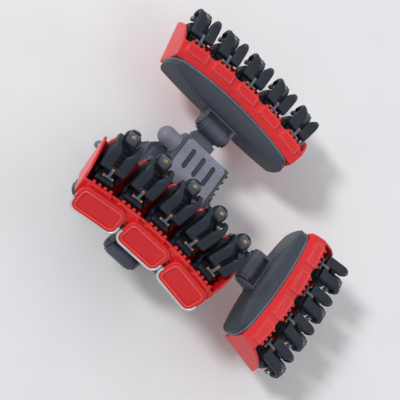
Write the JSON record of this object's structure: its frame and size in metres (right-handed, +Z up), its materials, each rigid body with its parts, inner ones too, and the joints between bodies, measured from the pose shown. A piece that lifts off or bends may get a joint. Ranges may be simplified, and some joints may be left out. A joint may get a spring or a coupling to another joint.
{
  "type": "roller coaster car",
  "caption": "Roller coaster car with a central hub on gripping wheel sets and arms that carry pitching rows of seats with over-shoulder restraints.",
  "frame": {"origin": "on the track's centre line, midway between the axles, level with the underside of the up-stop wheels", "axes": "+X is forward, +Y is left, +Z is up"},
  "size_m": [5.6469, 4.9915, 2.5637],
  "materials": {
    "slate_paint": "satin slate-grey paint",
    "light_paint": "satin light grey paint",
    "frame_paint": "semi-gloss dark paint",
    "bare_steel": "machined steel",
    "hull_gelcoat": "glass-fibre moulding, satin slate gelcoat",
    "red_gelcoat": "glass-fibre moulding, gloss red gelcoat",
    "seat_foam": "black self-skinned foam over a shell",
    "restraint_foam": "black moulded foam on steel tube",
    "pale_rim": "pale silver paint",
    "wheel_tread": "polyurethane tread on a metal hub"
  },
  "bodies": {
    "chassis": {"chassis_frame": "frame_paint", "hub_housing": "slate_paint", "drive_housing": "slate_paint", "drive_cover": "light_paint", "drive_motor": "light_paint", "arm_left": "slate_paint", "arm_right": "slate_paint", "arm_front": "slate_paint", "rear_coupler": "bare_steel", "axle_front": "frame_paint", "axle_rear": "frame_paint", "wheel_carriers": "bare_steel", "brake_fin": "bare_steel", "chain_dog": "bare_steel"},
    "gondola_left": {"pivot_left": "slate_paint", "hull_left": "hull_gelcoat", "tray_left": "red_gelcoat", "seats_left": "seat_foam"},
    "gondola_front": {"pivot_front": "slate_paint", "hull_front": "hull_gelcoat", "tray_front": "red_gelcoat", "seats_front": "seat_foam"},
    "gondola_right": {"pivot_right": "slate_paint", "hull_right": "hull_gelcoat", "tray_right": "red_gelcoat", "seats_right": "seat_foam", "pods_right": "red_gelcoat", "pod_rims_right": "pale_rim"},
    "run_wheel_fl": {"run_wheel_fl": "wheel_tread"},
    "run_wheel_fr": {"run_wheel_fr": "wheel_tread"},
    "run_wheel_rl": {"run_wheel_rl": "wheel_tread"},
    "run_wheel_rr": {"run_wheel_rr": "wheel_tread"},
    "guide_wheel_fl": {"guide_wheel_fl": "wheel_tread"},
    "guide_wheel_fr": {"guide_wheel_fr": "wheel_tread"},
    "guide_wheel_rl": {"guide_wheel_rl": "wheel_tread"},
    "guide_wheel_rr": {"guide_wheel_rr": "wheel_tread"},
    "upstop_wheel_fl": {"upstop_wheel_fl": "wheel_tread"},
    "upstop_wheel_fr": {"upstop_wheel_fr": "wheel_tread"},
    "upstop_wheel_rl": {"upstop_wheel_rl": "wheel_tread"},
    "upstop_wheel_rr": {"upstop_wheel_rr": "wheel_tread"},
    "harness_left_1": {"harness_left_1": "restraint_foam"},
    "harness_left_2": {"harness_left_2": "restraint_foam"},
    "harness_left_3": {"harness_left_3": "restraint_foam"},
    "harness_left_4": {"harness_left_4": "restraint_foam"},
    "harness_left_5": {"harness_left_5": "restraint_foam"},
    "harness_front_1": {"harness_front_1": "restraint_foam"},
    "harness_front_2": {"harness_front_2": "restraint_foam"},
    "harness_front_3": {"harness_front_3": "restraint_foam"},
    "harness_front_4": {"harness_front_4": "restraint_foam"},
    "harness_right_1": {"harness_right_1": "restraint_foam"},
    "harness_right_2": {"harness_right_2": "restraint_foam"},
    "harness_right_3": {"harness_right_3": "restraint_foam"},
    "harness_right_4": {"harness_right_4": "restraint_foam"},
    "harness_right_5": {"harness_right_5": "restraint_foam"}
  },
  "joints": [
    {"name": "gondola_left_pitch", "type": "hinge", "parent": "chassis", "child": "gondola_left", "pos_m": [0, 1.45, 1.25], "axis": [1, 0, 0], "range_deg": [-15, 90]},
    {"name": "gondola_front_pitch", "type": "hinge", "parent": "chassis", "child": "gondola_front", "pos_m": [2.11, 0, 1.25], "axis": [0, -1, 0], "range_deg": [-15, 90]},
    {"name": "gondola_right_pitch", "type": "hinge", "parent": "chassis", "child": "gondola_right", "pos_m": [0, -1.45, 1.25], "axis": [1, 0, 0], "range_deg": [-3, 45]},
    {"name": "run_wheel_fl_turn", "type": "hinge", "parent": "chassis", "child": "run_wheel_fl", "pos_m": [0.9, 0.6, 0.505], "axis": [0, 1, 0], "continuous": true},
    {"name": "run_wheel_fr_turn", "type": "hinge", "parent": "chassis", "child": "run_wheel_fr", "pos_m": [0.9, -0.6, 0.505], "axis": [0, 1, 0], "continuous": true},
    {"name": "run_wheel_rl_turn", "type": "hinge", "parent": "chassis", "child": "run_wheel_rl", "pos_m": [-0.9, 0.6, 0.505], "axis": [0, 1, 0], "continuous": true},
    {"name": "run_wheel_rr_turn", "type": "hinge", "parent": "chassis", "child": "run_wheel_rr", "pos_m": [-0.9, -0.6, 0.505], "axis": [0, 1, 0], "continuous": true},
    {"name": "guide_wheel_fl_turn", "type": "hinge", "parent": "chassis", "child": "guide_wheel_fl", "pos_m": [0.9, 0.415, 0.265], "axis": [0, 0, 1], "continuous": true},
    {"name": "guide_wheel_fr_turn", "type": "hinge", "parent": "chassis", "child": "guide_wheel_fr", "pos_m": [0.9, -0.415, 0.265], "axis": [0, 0, 1], "continuous": true},
    {"name": "guide_wheel_rl_turn", "type": "hinge", "parent": "chassis", "child": "guide_wheel_rl", "pos_m": [-0.9, 0.415, 0.265], "axis": [0, 0, 1], "continuous": true},
    {"name": "guide_wheel_rr_turn", "type": "hinge", "parent": "chassis", "child": "guide_wheel_rr", "pos_m": [-0.9, -0.415, 0.265], "axis": [0, 0, 1], "continuous": true},
    {"name": "upstop_wheel_fl_turn", "type": "hinge", "parent": "chassis", "child": "upstop_wheel_fl", "pos_m": [0.9, 0.6, 0.09], "axis": [0, 1, 0], "continuous": true},
    {"name": "upstop_wheel_fr_turn", "type": "hinge", "parent": "chassis", "child": "upstop_wheel_fr", "pos_m": [0.9, -0.6, 0.09], "axis": [0, 1, 0], "continuous": true},
    {"name": "upstop_wheel_rl_turn", "type": "hinge", "parent": "chassis", "child": "upstop_wheel_rl", "pos_m": [-0.9, 0.6, 0.09], "axis": [0, 1, 0], "continuous": true},
    {"name": "upstop_wheel_rr_turn", "type": "hinge", "parent": "chassis", "child": "upstop_wheel_rr", "pos_m": [-0.9, -0.6, 0.09], "axis": [0, 1, 0], "continuous": true},
    {"name": "harness_left_1_lift", "type": "hinge", "parent": "gondola_left", "child": "harness_left_1", "pos_m": [-1.32229, 2.95619, 1.034], "axis": [-0.9863, -0.165, 0], "range_deg": [0, 80]},
    {"name": "harness_left_2_lift", "type": "hinge", "parent": "gondola_left", "child": "harness_left_2", "pos_m": [-0.66342, 3.0385, 1.034], "axis": [-0.9966, -0.0828, 0], "range_deg": [0, 80]},
    {"name": "harness_left_3_lift", "type": "hinge", "parent": "gondola_left", "child": "harness_left_3", "pos_m": [0, 3.066, 1.034], "axis": [-1, 0, 0], "range_deg": [0, 80]},
    {"name": "harness_left_4_lift", "type": "hinge", "parent": "gondola_left", "child": "harness_left_4", "pos_m": [0.66342, 3.0385, 1.034], "axis": [-0.9966, 0.0828, 0], "range_deg": [0, 80]},
    {"name": "harness_left_5_lift", "type": "hinge", "parent": "gondola_left", "child": "harness_left_5", "pos_m": [1.32229, 2.95619, 1.034], "axis": [-0.9863, 0.165, 0], "range_deg": [0, 80]},
    {"name": "harness_front_1_lift", "type": "hinge", "parent": "gondola_front", "child": "harness_front_1", "pos_m": [3.66417, 0.99371, 1.034], "axis": [-0.124, 0.9923, 0], "range_deg": [0, 80]},
    {"name": "harness_front_2_lift", "type": "hinge", "parent": "gondola_front", "child": "harness_front_2", "pos_m": [3.71912, 0.332, 1.034], "axis": [-0.0414, 0.9991, 0], "range_deg": [0, 80]},
    {"name": "harness_front_3_lift", "type": "hinge", "parent": "gondola_front", "child": "harness_front_3", "pos_m": [3.71912, -0.332, 1.034], "axis": [0.0414, 0.9991, 0], "range_deg": [0, 80]},
    {"name": "harness_front_4_lift", "type": "hinge", "parent": "gondola_front", "child": "harness_front_4", "pos_m": [3.66417, -0.99371, 1.034], "axis": [0.124, 0.9923, 0], "range_deg": [0, 80]},
    {"name": "harness_right_1_lift", "type": "hinge", "parent": "gondola_right", "child": "harness_right_1", "pos_m": [-1.32229, -0.23223, 2.1623], "axis": [-0.9863, -0.1166, -0.1166], "range_deg": [0, 80]},
    {"name": "harness_right_2_lift", "type": "hinge", "parent": "gondola_right", "child": "harness_right_2", "pos_m": [-0.66342, -0.17403, 2.2205], "axis": [-0.9966, -0.0585, -0.0585], "range_deg": [0, 80]},
    {"name": "harness_right_3_lift", "type": "hinge", "parent": "gondola_right", "child": "harness_right_3", "pos_m": [0, -0.15458, 2.23995], "axis": [-1, 0, 0], "range_deg": [0, 80]},
    {"name": "harness_right_4_lift", "type": "hinge", "parent": "gondola_right", "child": "harness_right_4", "pos_m": [0.66342, -0.17403, 2.2205], "axis": [-0.9966, 0.0585, 0.0585], "range_deg": [0, 80]},
    {"name": "harness_right_5_lift", "type": "hinge", "parent": "gondola_right", "child": "harness_right_5", "pos_m": [1.32229, -0.23223, 2.1623], "axis": [-0.9863, 0.1166, 0.1166], "range_deg": [0, 80]}
  ]
}
